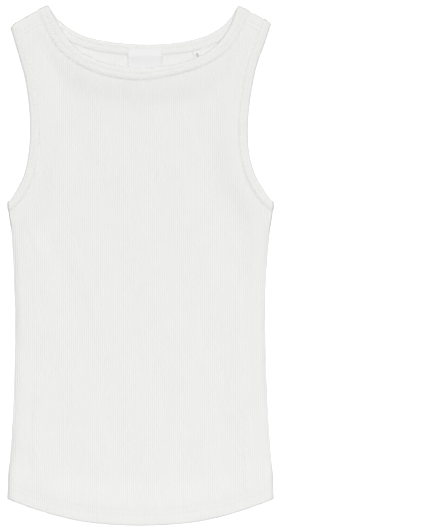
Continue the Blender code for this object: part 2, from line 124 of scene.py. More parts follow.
HEM_ROWS = ((0, 0), (37, 1.3), (74, 5.4), (104, 12.1), (134, 21.4), (149, 27.0), (166, 33.5))
FRONT_NECK_COLUMNS = ("x", "up", "width")
FRONT_NECK_ROWS = (
    (-104.0, 626.0, 16.1),
    (-89.0, 603.5, 17.2),
    (-69.5, 585.5, 14.9),
    (-42.0, 573.8, 14.5),
    (0.0, 568.3, 14.8),
    (44.6, 573.0, 12.4),
    (76.5, 584.0, 12.5),
    (97.0, 600.0, 14.6),
    (111.0, 620.5, 15.6),
)
FRONT_NECK_ENDS = {"left": 14.6, "right": 17.1}
BACK_NECK_COLUMNS = ("x", "up")
BACK_NECK_ROWS = (
    (-104.2, 630.8),
    (-89.3, 618.4),
    (-69.4, 608.0),
    (-38.0, 600.9),
    (4.0, 597.5),
    (47.0, 600.0),
    (79.4, 607.7),
    (99.2, 618.4),
    (111.6, 630.5),
)
LABEL_MIDDLE = 5.6
LABEL_WIDTH = 43.0
LABEL_HIGH = BACK_BOUND + BINDING_HALF + GAP + HALF
LABEL_LOW = BACK_BODY + PLY
# Heights up the garment, and the level of the label's middle at each.
LABEL_ROWS = ((592.4, LABEL_HIGH), (583.0, LABEL_HIGH), (568.8, LABEL_LOW), (563.4, LABEL_LOW))
TAB_MIDDLE = 65.7
TAB_WIDTH = 9.5
TAB_LENGTH = 15.0

SIDES = {"left": -1, "right": 1}
FACES = {"front": 1, "back": -1}
UP = np.array((0.0, 0.0, 1.0))
EAST, NORTH = np.array((1.0, 0.0)), np.array((0.0, 1.0))

# --- The knit, the seams and the lie of the cloth ---

RIB = 2.4  # one rib and its groove
GROOVE = 0.28  # depth of a groove
NOTCH = 0.16  # half the width of its sharp part, as a share of a rib
RIB_PHASES = (0.0, NOTCH, 0.5, 1 - NOTCH)  # where a rib has its columns of points; its groove is at 0
ROW_STEP = 9.8
SEAM_GAP = 0.06  # what is left open where two panels are sewn edge to edge
SEAM_DIP = 0.35  # how far the cloth dives into such a seam
SEAM_REACH = 1.1
TWIN = 6.2  # between the two rows of a twin needle
EDGE_ROWS = (1.2, 1.2 + TWIN)  # from a binding's inner edge to its two rows
INNER = HALF + GAP  # from a panel's middle to the inside of its binding
TROUGH = 0.30  # depth that a row of stitches is pulled in by
TROUGH_HALF = 0.55
HEM_TROUGH = 0.16
ROLLS = {"arm": 6.5, "neck": 3.0}  # a binding rounds over from its folded edge in this width
ROLL_SHAPES = {"arm": 0.6, "neck": 0.5}  # 0.5 for a round edge, more for a flatter one
PUFF = 0.2  # how much fuller its middle is on the front
EDGE_DROPS = {"arm": (0.65, 3.2), "neck": (0.2, 1.6)}  # how its inner edge thins, and over what width
SIDE_PUFF = 2.5  # the side seam inside lifts the front this much
SIDE_ROLL = 9.0  # and the front rolls down from there to the side fold
SIDE_SPREAD = 34.0
CREASES_FROM = 4  # creases begin this far in from a side
CREASES_OVER = 14  # and are whole after as much more
HEM_ROWS_UP = (12.6, 18.8)  # heights of the hem's stitches above its edge
SHOULDER_ROW = 5.0  # from the shoulder seam down to its topstitch
YOKE = 9.0  # depth of the finely divided cloth below the shoulder seam
STITCH = 2.5
STITCH_GAP = 0.55
STITCH_SHARES = np.array((0.0, 0.18, 0.5, 0.82, 1.0))  # where along a stitch its rings of points are
STITCH_LIFTS = np.array((-0.22, -0.02, 0.06, -0.02, -0.22))  # how far each is out of the cloth
STITCH_SIDES = 6
THREAD = 0.17  # radius
ROW_LIFT = 0.05  # a binding's rows are this much above its front, and deeper in its back
ROW_DEPTHS = {"hem": 0.26, "shoulder": 0.22, "label": 0.05}
ROW_TRIM = 3  # what the rows leave free at the ends of a course
COLLAR_TRIM = 26  # and inside the back of the neck
HEM_REACH = 161.0  # how far out the hem's rows go
TOPSTITCH = np.linspace(0.26, 0.76, 40)  # the shares of a shoulder seam with topstitch
LABEL_MARGIN = 1.4  # from the label's sides in to its rows
STRIP_STEP = 0.6  # between the rows of points of a label
STRIP_ROLL = 0.6  # its edges are rounded over this
STRIP_CROWD = 0.7  # its columns crowd to its sides
STRIP_THIN = 0.04  # square of its least thickness, as a share
STRIP_CELLS = {"label": 60, "tab": 16}
EASING = np.array((1.0, 2.0, 3.0, 2.0, 1.0)) / 9
LETTER = ((1.2, 1.5), (-1.2, 1.5), (-1.2, 0.1), (1.2, -0.1), (1.2, -1.5), (-1.2, -1.5))
LETTER_DOWN = 6.0  # from the tab's top to the middle of its letter
LETTER_LIFT = 0.06
LETTER_THREAD = 0.3
LETTER_SIDES = 8

# --- How finely the cloth is divided ---

TALL = 640.0  # the rows follow the hem at the foot, and are straight this far up
BESIDE_HEM_ROWS = (-1.1, -0.5, 0.0, 0.5, 1.1)  # rows of points beside a row of stitches in the hem
BESIDE_EDGE_ROWS = (-0.9, -0.45, 0.0, 0.45, 0.9)  # and in a binding
LOOSE_ROWS = (1.5, 5.5, 14.4, 22.0, 26.0)  # a panel's other rows near the hem
EVEN_FROM = 32.0  # where its even rows begin
SIDE_BREAKS = (60, 350)  # heights where a side's rows change their spacing
SIDE_COUNTS = (10, 50, 16)  # how many it has up to each, and above
TURNS = {"side": 5, "hem": 7, "shoulder": 10}  # steps round each fold
CORNER_TURN = 0.8  # how far the hem's corner follows the side's turn
HEM_END_ROWS = 4
SEAM_AIM = 10.0  # the ends of a shoulder seam take their direction over this
STRAP_SHARE = 0.9  # a strap's points, as a share of the ribs' columns
EDGE_COUNTS = {"arm": 90, "neck": 110}  # points of a panel's edges
PIT_CLEAR = 6.0  # from the armpit to the first of them
TOP_STARTS = {"front": SEAM_DROP + YOKE + 3.0, "back": 4.0}  # from the shoulder to the last
CORNER_CLEAR = 0.2  # least distance from a rib's column to the hem's corner
YOKE_DEPTHS = (8.1, 7.2, 6.6, 6.1, 5.7, 5.3, 5.0, 4.7, 4.3, 3.8, 3.0, 2.2, 1.5, 1.0, 0.6, 0.3, 0.0)
FLAP_SHARES = (0.15, 0.3, 0.45, 0.6, 0.72, 0.82, 0.88, 0.93, 0.97, 1.0)
ROLL_ANGLES = (12, 24, 36, 50)  # degrees round a binding's roll
PULL_FROM = 4  # its stitches pull in full from this far in, and less towards its folded edge
EDGE_PARTS = 24  # tests on each piece of an outline
LATTICE_GAP = 0.4  # least gap between an outline and the lattice in it, in its columns and rows
BATCH = 2000  # points compared with lines at a time
SHARP = math.radians(46)  # an edge that turns more than this looks sharp

# Creases of each panel: soft ridges from one end to the other, bowed to one side. A row gives x,
# up, to_x, to_up, bow, left_half, right_half and height.
CREASE_ROWS = {
    "front": (
        (-117.0, 340.0, -126.0, 150.0, 5.0, 13.0, 28.0, 1.4),
        (-123.0, 200.0, -128.0, 30.0, -2.0, 13.0, 34.0, 2.3),
        (-144.0, 402.0, -112.0, 318.0, -7.0, 9.0, 14.0, 1.1),
        (-152.0, 376.0, -140.0, 306.0, 3.0, 6.0, 8.0, 0.6),
        (144.0, 402.0, 116.0, 306.0, 8.0, 14.0, 9.0, 1.0),
        (150.0, 372.0, 137.0, 296.0, -3.0, 8.0, 6.0, 0.6),
        (120.0, 330.0, 127.0, 150.0, -5.0, 28.0, 13.0, 1.0),
        (124.0, 190.0, 129.0, 34.0, 2.0, 34.0, 13.0, 2.0),
        (-38.0, 500.0, -62.0, 405.0, -6.0, 20.0, 20.0, 0.35),
        (20.0, 545.0, 84.0, 520.0, 7.0, 10.0, 16.0, 0.5),
        (48.0, 528.0, 66.0, 440.0, 6.0, 18.0, 14.0, 0.4),
        (-20.0, 150.0, 35.0, 96.0, 8.0, 22.0, 18.0, 0.35),
        (60.0, 245.0, 84.0, 160.0, 5.0, 18.0, 14.0, 0.35),
    ),
    "back": (
        (-96.0, 360.0, -60.0, 250.0, 8.0, 14.0, 10.0, 0.6),
        (88.0, 330.0, 62.0, 205.0, -8.0, 11.0, 15.0, 0.6),
        (-30.0, 470.0, 28.0, 440.0, 6.0, 13.0, 9.0, 0.45),
        (-70.0, 150.0, -40.0, 80.0, 5.0, 10.0, 14.0, 0.5),
        (54.0, 120.0, 96.0, 84.0, -6.0, 12.0, 8.0, 0.45),
    ),
}


# --- Lines in the plan ---


def values(rows, columns, *names):
    return np.array([[row[columns.index(name)] for name in names] for row in rows], float)


def smooth(knots):
    """Points along a centripetal Catmull-Rom curve through the knots."""
    knots = np.asarray(knots, float)
    ends = [knots[0] * 2 - knots[1], *knots, knots[-1] * 2 - knots[-2]]
    line = []
    for a, b, c, d in zip(ends, ends[1:], ends[2:], ends[3:]):
        first = math.sqrt(np.linalg.norm(b - a))
        second = first + math.sqrt(np.linalg.norm(c - b))
        third = second + math.sqrt(np.linalg.norm(d - c))
        count = max(2, round(np.linalg.norm(c - b) / SAMPLE))
        now = first + (second - first) * np.arange(count)[:, None] / count
        ab = a + (b - a) * now / first
        bc = b + (c - b) * (now - first) / (second - first)
        cd = c + (d - c) * (now - second) / (third - second)
        abc = ab + (bc - ab) * now / second
        bcd = bc + (cd - bc) * (now - first) / (third - first)
        line.append(abc + (bcd - abc) * (now - first) / (second - first))
    return np.vstack([*line, knots[-1:]])


def travel(path):
    """The distance along a path at each of its points."""
    steps = np.linalg.norm(np.diff(path, axis=0), axis=1)
    return np.concatenate([[0.0], np.cumsum(steps)])


def lengths(line):
    """The same in the plan."""
    return travel(line[:, :2])


def between(where, marks, rows):
    """Rows of values that belong to marks, at places between the marks."""
    return np.stack([np.interp(where, marks, column) for column in rows.T], -1)


def at(line, distance):
    """The points of a line at distances along it in the plan."""
    return between(distance, lengths(line), line)


def fade(x):
    """1 up to 0, then down to 0 at 1."""
    return np.clip(1.0 - x, 0.0, 1.0)


def soft_fade(x):
    t = fade(x)
    return t * t * (3 - 2 * t)


def unit(vectors):
    return vectors / np.linalg.norm(vectors, axis=-1, keepdims=True)


def square(vectors):
    """Plan vectors turned a quarter to the left."""
    return np.stack([-vectors[..., 1], vectors[..., 0]], -1)


def hem_up(x):
    """The height of the lowest cloth at a distance from the centre line."""
    out = np.abs(x)
    outs, ups = values(HEM_ROWS, HEM_COLUMNS, "out", "up").T
    slopes = np.diff(ups) / np.diff(outs)
    tangents = np.concatenate([[0.0], (slopes[1:] + slopes[:-1]) / 2, slopes[-1:]])
    span = np.clip(np.searchsorted(outs, out, side="right") - 1, 0, len(outs) - 2)
    run = outs[span + 1] - outs[span]
    t = (out - outs[span]) / run
    return (
        ups[span] * (1 + 2 * t) * (1 - t) ** 2
        + run * tangents[span] * t * (1 - t) ** 2
        + ups[span + 1] * t * t * (3 - 2 * t)
        + run * tangents[span + 1] * t * t * (t - 1)
    )


def side_rows(rows, columns, side):
    up = "up_" + side if "up_" + side in columns else "up"
    found = values(rows, columns, side, up)
    found[:, 0] *= SIDES[side]
    return found


SHOULDERS = {side: side_rows(SHOULDER_ROWS, SHOULDER_COLUMNS, side) for side in SIDES}
SIDE_LINES = {side: smooth(side_rows(SIDE_ROWS, SIDE_COLUMNS, side)) for side in SIDES}


def side_out(side, up):
    """How far the side is from the centre line at heights up the body."""
    return np.interp(up, SIDE_LINES[side][:, 1], np.abs(SIDE_LINES[side][:, 0]))


def side_axis(side, up, radius):
    """The plan points that the side's fold turns round at heights up the body."""
    out = side_out(side, up)
    return np.stack([SIDES[side] * (out - HALF - radius), np.broadcast_to(up, out.shape)], -1)


def with_width(points, widths):
    return np.column_stack([points, np.broadcast_to(widths, len(points))])


def arm_line(side):
    points = [SHOULDERS[side][-1], *side_rows(ARMHOLE_ROWS, ARMHOLE_COLUMNS, side)]
    points.append(side_axis(side, np.array(PIT_UP), FOLD_RADIUS))
    return smooth(with_width(np.array(points), ARM_BAND))


def neck_line(points, widths):
    return smooth(with_width(np.vstack([SHOULDERS["left"][0], points, SHOULDERS["right"][0]]), widths))


FRONT_WIDTHS = values(FRONT_NECK_ROWS, FRONT_NECK_COLUMNS, "width")[:, 0]
ARM_LINES = {side: arm_line(side) for side in SIDES}
NECK_LINES = {
    "front": neck_line(
        values(FRONT_NECK_ROWS, FRONT_NECK_COLUMNS, "x", "up"),
        [FRONT_NECK_ENDS["left"], *FRONT_WIDTHS, FRONT_NECK_ENDS["right"]],
    ),
    "back": neck_line(values(BACK_NECK_ROWS, BACK_NECK_COLUMNS, "x", "up"), BACK_NECK_BAND),
}


def near(points, lines):
    """The plan distance from each point to the nearest of some lines."""
    samples = []
    for line in lines:
        total = lengths(line)[-1]
        samples.append(at(line[:, :2], np.linspace(0, total, max(2, round(total / SAMPLE) + 1))))
    samples = np.vstack(samples)
    return np.concatenate([
        np.linalg.norm(part[:, None] - samples[None], axis=2).min(1)
        for part in np.array_split(points, max(1, len(points) // BATCH))
    ])


def creases(layer, points):
    """How far the creases of a panel lift it."""
    lift = np.zeros(len(points))
    for x, up, to_x, to_up, bow, left_half, right_half, height in CREASE_ROWS[layer]:
        start, end = np.array((x, up)), np.array((to_x, to_up))
        along = end - start
        share = (points - start) @ along / (along @ along)
        middle = start + share[:, None] * along
        off = (points - middle) @ unit(square(along)) - bow * 4 * share * (1 - share)
        to_left = off < 0 if along[1] < 0 else off > 0
        # A crease has its full height over its middle half.
        ends = soft_fade(np.abs(share - 0.5) * 4 - 1)
        lift += height * ends * soft_fade(np.abs(off) / np.where(to_left, left_half, right_half))
    return lift


def level(layer, points):
    """The height of the middle of a panel above the floor at points of the plan."""
    past = near(points, [NECK_LINES[layer], *ARM_LINES.values(), *SHOULDERS.values()]) - HOLD
    run = RUNS[layer]
    inner = soft_fade(1 - (past - run) / run) * side_clear(points)
    lift = creases("back", points) * inner
    if layer == "back":
        return BACK_BODY + (BACK_BOUND - BACK_BODY) * soft_fade(past / run) + lift
    above_hem = points[:, 1] - hem_up(points[:, 0]) - HEM_HOLD
    body = np.maximum(
        FRONT_BODY + (FRONT_BOUND - FRONT_BODY) * soft_fade(past / run),
        FRONT_BODY + (FRONT_HEM - FRONT_BODY) * soft_fade(above_hem / HEM_RUN),
    )
    free = soft_fade(1 - past / run)
    return body + lift + (creases("front", points) * side_clear(points) + side_puff(points)) * free


def from_sides(points):
    """How far points are in from the outside of the nearer side."""
    left, right = (side_out(side, points[:, 1]) for side in SIDES)
    return np.minimum(points[:, 0] + left, right - points[:, 0])


def side_clear(points):
    """1 over the body, and 0 towards its side folds."""
    return soft_fade(1 - (from_sides(points) - CREASES_FROM) / CREASES_OVER)


def side_puff(points):
    """How far the side seam inside lifts the front: it falls in a roll to the side fold."""
    inward = from_sides(points)
    roll = 1 - np.clip((inward - HALF - PLY / 2) / SIDE_ROLL, 0, 1)
    up = points[:, 1]
    wander = 1 + 0.16 * np.sin(up / 31.0 + np.sign(points[:, 0])) + 0.1 * np.sin(up / 12.7)
    return SIDE_PUFF * wander * (1 - roll * roll) * soft_fade((inward - SIDE_ROLL) / SIDE_SPREAD)


# --- Courses of the bindings ---


def shoulder_inward(side, end):
    line = SHOULDERS[side] if end == "neck" else SHOULDERS[side][::-1]
    return unit(line[1] - line[0])


def pit_inward(side):
    tops = side_axis(side, np.array((PIT_UP, PIT_UP - ARM_BAND)), FOLD_RADIUS)
    return unit(tops[1] - tops[0])


ENDS = {side: (shoulder_inward(side, "arm"), pit_inward(side)) for side in SIDES}
NECK_ENDS = (shoulder_inward("left", "neck"), shoulder_inward("right", "neck"))


def sections(line, distance, ends):
    """Places, inward directions and widths of a binding at distances along its folded edge."""
    first, last = ends
    start = at(line, np.array(SAMPLE))[:2] - line[0, :2]
    hand = 1 if square(start) @ first > 0 else -1
    found = at(line, distance)
    ahead = at(line, distance + SAMPLE)[:, :2] - at(line, distance - SAMPLE)[:, :2]
    inward = hand * unit(square(ahead))
    inward += (first - inward) * fade(distance / BLEND)[:, None]
    inward += (last - inward) * fade((lengths(line)[-1] - distance) / BLEND)[:, None]
    return found[:, :2], unit(inward), found[:, 2]


def inset(line, ends, distances):
    """A panel's edge inside a binding, at distances along the binding."""
    places, inward, _ = sections(line, distances, ends)
    return places + inward * EDGE_INSET


def away_from(direction, hint):
    """The plan direction at right angles to another on the side of a hint."""
    across = square(direction)
    return across if across @ hint > 0 else -across


# --- Meshes ---

LOW, HIGH = slice(None, -1), slice(1, None)
CELL = ((LOW, LOW), (HIGH, LOW), (HIGH, HIGH), (LOW, HIGH))  # where a grid has its cells' corners


class Cloth:
    """The middle of a piece of cloth: where its points lie and where they were in its cut."""

    def __init__(self):
        self.places, self.pattern, self.dips, self.faces = [], [], [], []
        self.count = 0

    def add(self, places, pattern, dips=0.0):
        """Add points. A dip is how far the outside is pulled in. Returns their numbers."""
        shape = places.shape[:-1]
        self.places.append(places.reshape(-1, 3))
        self.pattern.append(np.broadcast_to(pattern, (*shape, 2)).reshape(-1, 2))
        self.dips.append(np.broadcast_to(dips, shape).reshape(-1))
        size = int(np.prod(shape))
        self.count += size
        return np.arange(self.count - size, self.count).reshape(shape)

    def grid(self, index, kept=True):
        """Join a grid of points, or those of its cells that are kept."""
        kept = np.broadcast_to(kept, np.subtract(index.shape, 1))
        self.faces += np.stack([index[corner][kept] for corner in CELL], 1).tolist()


def turned(places, faces, toward):
    """Faces turned to agree with each other and to face along a direction on the whole."""
    mesh = bpy.data.meshes.new("scratch")
    mesh.from_pydata(places.tolist(), [], faces)
    shape = bmesh.new()
    shape.from_mesh(mesh)
    bmesh.ops.recalc_face_normals(shape, faces=shape.faces)
    total = sum((face.normal * face.calc_area() for face in shape.faces), Vector())
    if total.dot(Vector(toward)) < 0:
        bmesh.ops.reverse_faces(shape, faces=shape.faces)
    shape.verts.ensure_lookup_table()
    found = [[vert.index for vert in face.verts] for face in shape.faces]
    shape.free()
    bpy.data.meshes.remove(mesh)
    return found


def vertex_normals(places, faces):
    triangles = np.array([(f[0], f[i], f[i + 1]) for f in faces for i in range(1, len(f) - 1)])
    a, b, c = (places[triangles[:, k]] for k in range(3))
    across = np.cross(b - a, c - a)
    total = np.zeros_like(places)
    for k in range(3):
        np.add.at(total, triangles[:, k], across)
    return unit(total)


def groove(phase):
    """How deep a rib's profile is at a phase: 1 in the groove and 0 on the rib."""
    off = np.abs((phase + 0.5) % 1.0 - 0.5)
    return 0.8 * fade(off / NOTCH) + 0.2 * (1 - 2 * off) ** 2


def shell(cloth, outer, inner, toward):
    """A cloth as thick on each side of its middle as told: outside, inside and the rim between."""
    places, pattern = np.concatenate(cloth.places), np.concatenate(cloth.pattern)
    faces = turned(places, cloth.faces, toward)
    normals = vertex_normals(places, faces)
    points = np.vstack([places + normals * outer[:, None], places - normals * inner[:, None]])
    count = len(places)
    sides = {(a, b) for face in faces for a, b in zip(face, [*face[1:], face[0]])}
    rim = [(b, a, a + count, b + count) for a, b in sorted(sides) if (b, a) not in sides]
    under = [[corner + count for corner in reversed(face)] for face in faces]
    return points, [*faces, *under, *rim], np.vstack([pattern, pattern])


def wall(cloth, toward):
    """A panel's shell, with ribs on both faces."""
    pattern, dips = np.concatenate(cloth.pattern), np.concatenate(cloth.dips)
    depth = GROOVE * (1 + 0.15 * np.sin(pattern[:, 0] / 11.3 + pattern[:, 1] / 37.0))
    outer = HALF - depth * groove(pattern[:, 0] / RIB) - dips
    inner = HALF - depth * groove(pattern[:, 0] / RIB + 0.5)
    return shell(cloth, outer, inner, toward)


def placed(name, data):
    """A new object in the scene."""
    made = bpy.data.objects.new(name, data)
    bpy.context.scene.collection.objects.link(made)
    return made


def add_piece(name, points, faces, pattern, material):
    """A mesh object from plan millimetres, smooth, with its cut as a UV map in millimetres."""
    world = (points - np.array((0.0, FOOT, 0.0))) * MM
    mesh = bpy.data.meshes.new(name)
    mesh.from_pydata(world.tolist(), [], [list(face) for face in faces])
    loops = np.zeros(len(mesh.loops), np.int32)
    mesh.loops.foreach_get("vertex_index", loops)
    layer = mesh.uv_layers.new(name="cut")
    layer.uv.foreach_set("vector", pattern[loops].astype(np.float32).ravel())
    mesh.polygons.foreach_set("use_smooth", np.ones(len(mesh.polygons), bool))
    mesh.set_sharp_from_angle(angle=SHARP)
    mesh.materials.append(material)
    mesh.update()
    return placed(name, mesh)


# --- Panels ---


def hem_base(x):
    """Where the hem's fold begins at its top side."""
    return hem_up(x) + HALF + PLY / 2


def rib_wave(x, up):
    """The slight wander of the ribs."""
    return (
        0.16 * np.sin(up / 23.0 + 0.8 * np.sin(x / 17.0))
        + 0.08 * np.sin(up / 10.5 + x / 6.1)
        + 0.05 * np.sin(up / 7.7 - x / 2.9 + 1.0)
    )


def to_plan(pattern):
    """Where the places of a panel's cut are in the plan."""
    x, row = pattern[..., 0], pattern[..., 1]
    base = hem_base(x)
    up = row + base * (1 - row / TALL)
    return np.stack([x + rib_wave(x, up), up], -1)


def to_pattern(plan):
    """Where the points of the plan are in a panel's cut."""
    x, up = plan[..., 0], plan[..., 1]
    straight = x - rib_wave(x, up)
    base = hem_base(straight)
    return np.stack([straight, (up - base) / (1 - base / TALL)], -1)


def inside(points, outline):
    """Which points of the plan are in a closed outline."""
    found = np.zeros(len(points), bool)
    x, up = points.T
    for a, b in zip(outline, np.roll(outline, -1, axis=0)):
        if a[1] == b[1]:
            continue
        crossed = (a[1] > up) != (b[1] > up)
        found ^= crossed & (x < a[0] + (up - a[1]) * (b[0] - a[0]) / (b[1] - a[1]))
    return found


def rib_columns(low, high):
    ribs = np.arange(math.floor(low / RIB), math.ceil(high / RIB) + 1)
    columns = (ribs[:, None] + np.array(RIB_PHASES)).ravel() * RIB
    return columns[(columns > low) & (columns < high)]


def row_heights():
    """The rows of a panel above its hem: close together beside the hem's stitches."""
    close = [up - HEM_START + step for up in HEM_ROWS_UP for step in BESIDE_HEM_ROWS]
    return np.array(sorted([*close, *LOOSE_ROWS, *np.arange(EVEN_FROM, TALL, ROW_STEP)]))


def fill(cloth, layer, outline, edge_index):
    """Fill an outline with a lattice along the ribs, and join the lattice to the outline."""
    columns = rib_columns(outline[:, 0].min(), outline[:, 0].max())
    rows = row_heights()
    pattern = np.stack(np.meshgrid(columns, rows, indexing="ij"), -1)
    plan = to_plan(pattern)
    good = inside(plan.reshape(-1, 2), outline).reshape(pattern.shape[:2])

    def lattice(points):
        """Points of the plan as counts of columns and rows, running on beyond the first and last."""
        found = to_pattern(points)
        beyond = found - np.clip(found, (columns[0], rows[0]), (columns[-1], rows[-1]))
        counts = [
            np.interp(found[:, 0], columns, np.arange(len(columns))),
            np.interp(found[:, 1], rows, np.arange(len(rows))),
        ]
        return np.stack(counts, -1) + beyond / (RIB / len(RIB_PHASES), ROW_STEP)

    closed = np.vstack([outline, outline[:1]])
    dense = lattice(np.vstack([
        a + (b - a) * np.linspace(0, 1, EDGE_PARTS, endpoint=False)[:, None]
        for a, b in zip(closed, closed[1:])
    ]))
    nearest = np.round(dense).astype(int)
    nearest = nearest[np.linalg.norm(dense - nearest, axis=1) < LATTICE_GAP]
    held = ((nearest >= 0) & (nearest < good.shape)).all(1)
    good[tuple(nearest[held].T)] = False
    full = np.logical_and.reduce([good[corner] for corner in CELL])
    number = np.full(good.shape, -1)
    flat = plan[good]
    number[good] = cloth.add(np.column_stack([flat, level(layer, flat)]), pattern[good], hem_dip(flat))
    cloth.grid(number, full)

    padded = np.pad(full, 1)
    edges = []
    for axis in (0, 1):
        change = np.diff(padded.astype(int), axis=axis) != 0
        change = change[:, 1:-1] if axis == 0 else change[1:-1, :]
        for i, j in np.argwhere(change):
            edges.append(((i, j), (i, j + 1)) if axis == 0 else ((i, j), (i + 1, j)))
    lone = good.copy()
    for corner in CELL:
        lone[corner] &= ~full
    stair = sorted({corner for edge in edges for corner in edge} | {tuple(x) for x in np.argwhere(lone)})
    place = {corner: len(outline) + k for k, corner in enumerate(stair)}
    points = [*map(Vector, lattice(outline)), *(Vector(map(float, corner)) for corner in stair)]
    numbers = [*edge_index, *(number[corner] for corner in stair)]
    found = geometry.delaunay_2d_cdt(
        points, [(place[a], place[b]) for a, b in edges], [list(range(len(outline)))], 1, 1e-6
    )
    for face in found[2]:
        middle = sum((found[0][k] for k in face), Vector((0, 0))) / len(face)
        cell = (int(middle.x // 1), int(middle.y // 1))
        if 0 <= cell[0] < full.shape[0] and 0 <= cell[1] < full.shape[1] and full[cell]:
            continue
        cloth.faces.append([int(numbers[found[3][k][0]]) for k in face])


def dip(distance, depth=TROUGH):
    """How far a row of stitches pulls the cloth in at a distance from it."""
    return depth * np.exp(-((distance / TROUGH_HALF) ** 2))


def hem_dip(points):
    above = points[:, 1] - hem_up(points[:, 0])
    return sum(dip(above - up, HEM_TROUGH) for up in HEM_ROWS_UP)


def side_fold(side, ups):
    """Radius and middle height of the side's fold at heights up the body."""
    out = side_axis(side, ups, -HALF)
    front, back = level("front", out), level("back", out)
    return (front - back) / 2, (front + back) / 2


def side_edge(side):
    """Where the side's quarter turn begins, from the hem to the armhole."""
    foot = side_axis(side, np.array(float(SIDE_ROWS[0][0])), FOLD_RADIUS)
    stops = (hem_base(foot[0]), *SIDE_BREAKS, PIT_UP - EDGE_INSET)
    ups = np.concatenate([
        np.linspace(low, high, count, endpoint=high == stops[-1])
        for low, high, count in zip(stops, stops[1:], SIDE_COUNTS)
    ])
    radius, height = side_fold(side, ups)
    return side_axis(side, ups, radius), radius, height


def add_side(cloth, layer, side, edge, index, radius, height):
    """The quarter turn at the side, down to the side seam."""
    face, sign, steps = FACES[layer], SIDES[side], TURNS["side"]
    columns = [index]
    for step in range(1, steps + 1):
        angle = math.pi / 2 * step / steps
        rise = SEAM_GAP / 2 + (radius - SEAM_GAP / 2) * math.cos(angle)
        places = np.column_stack([
            edge[:, 0] + sign * radius * math.sin(angle), edge[:, 1], height + face * rise
        ])
        places[0, 1] -= HEM_START * math.cos(angle * CORNER_TURN)
        pattern = to_pattern(edge) + np.stack([sign * radius * angle, np.zeros(len(edge))], -1)
        columns.append(cloth.add(places, pattern))
    cloth.grid(np.stack(columns, 1))


def add_hem(cloth, layer, edge, index):
    """The hem's fold and its turned-up end."""
    radius, face, turns = PLY / 2, FACES[layer], TURNS["hem"]
    rows = [index]
    for step in range(1, turns + HEM_END_ROWS + 1):
        angle = math.pi * min(step, turns) / turns
        back_up = max(0, step - turns) / HEM_END_ROWS * (HEM_TURN - HALF - radius)
        outer = level(layer, edge + np.array((0.0, back_up)))
        places = np.column_stack([
            edge[:, 0],
            edge[:, 1] - radius * math.sin(angle) + back_up,
            outer - face * radius * (1 - math.cos(angle)),
        ])
        pattern = to_pattern(edge) - np.array((0.0, radius * angle + back_up))
        rows.append(cloth.add(places, pattern))
    cloth.grid(np.stack(rows, 1))


def seam_ends(side):
    """The ends of the shoulder seam, at the neck and at the arm, and the directions down."""
    neck, neck_ends = NECK_LINES["front"][:: -SIDES[side]], NECK_ENDS[:: -SIDES[side]]
    found = []
    for line, ends in ((neck, neck_ends), (ARM_LINES[side], ENDS[side])):
        points = inset(line, ends, np.array((SEAM_DROP, SEAM_DROP + SEAM_AIM)))
        found.append((points[0], unit(points[1] - points[0])))
    return found


def shoulder_seam(side, shift, shares):
    """The seam from neck to arm at shares of its length, moved down the front by a shift."""
    (neck, down_neck), (arm, down_arm) = seam_ends(side)
    start, end = neck + down_neck * shift, arm + down_arm * shift
    return start + (end - start) * np.asarray(shares)[:, None]


def strap_shares(side):
    """Shares of a shoulder's length at which a strap has its points."""
    return np.linspace(0, 1, round(lengths(SHOULDERS[side])[-1] / (RIB / 4) * STRAP_SHARE) + 1)


def seam_dip(distance):
    return SEAM_DIP * soft_fade(distance / SEAM_REACH)


def add_yoke(cloth, side, shares, lower_index):
    """The front's cloth just below the shoulder seam, with its topstitch."""
    rows = [lower_index]
    for depth in YOKE_DEPTHS:
        plan = shoulder_seam(side, depth + SEAM_GAP / 2, shares)
        places = np.column_stack([plan, level("front", plan) - seam_dip(depth)])
        rows.append(cloth.add(places, to_pattern(plan), dip(depth - SHOULDER_ROW)))
    cloth.grid(np.stack(rows, 1))


def strap_stops(side, shares):
    """Points of the back's shoulder fold at shares of it, and the directions out over it."""
    line = SHOULDERS[side]
    stops = line.copy()
    stops[0] += shoulder_inward(side, "neck") * EDGE_INSET
    stops[-1] += shoulder_inward(side, "arm") * EDGE_INSET
    before, after = np.vstack([stops[:1], stops[:-1]]), np.vstack([stops[1:], stops[-1:]])
    away = np.array([away_from(b - a, NORTH) for a, b in zip(before, after)])
    marks = lengths(line) / lengths(line)[-1]
    return between(shares, marks, stops), unit(between(shares, marks, unit(away)))


def add_flap(cloth, side, shares, stops, away, index):
    """The back's cloth over the shoulder fold, down to its seam on the front."""
    rows, turns = [index], TURNS["shoulder"]
    pattern = to_pattern(stops)
    for step in range(1, turns + 1):
        angle = math.pi * step / turns
        places = np.column_stack([
            stops + away * FOLD_RADIUS * math.sin(angle),
            np.full(len(stops), FOLD_HEIGHT - FOLD_RADIUS * math.cos(angle)),
        ])
        rows.append(cloth.add(places, pattern + away * FOLD_RADIUS * angle))
    end = shoulder_seam(side, -SEAM_GAP / 2, shares)
    for share in FLAP_SHARES:
        plan = stops + (end - stops) * share
        left = (1 - share) * SEAM_DROP
        places = np.column_stack([plan, np.full(len(plan), FRONT_BOUND - seam_dip(left))])
        rows.append(cloth.add(places, pattern + away * (math.pi * FOLD_RADIUS + SEAM_DROP * share)))
    cloth.grid(np.stack(rows, 1))


def arm_edge(side, stop):
    """A panel's edge inside the armhole binding, from the side up to a distance from the shoulder."""
    line = ARM_LINES[side]
    start = lengths(line)[-1] - PIT_CLEAR
    return inset(line, ENDS[side], np.linspace(start, stop, EDGE_COUNTS["arm"]))


def neck_edge(layer, start):
    """A panel's edge inside the neck binding, but for a distance at each shoulder."""
    line = NECK_LINES[layer]
    total = lengths(line)[-1]
    return inset(line, NECK_ENDS, np.linspace(start, total - start, EDGE_COUNTS["neck"]))


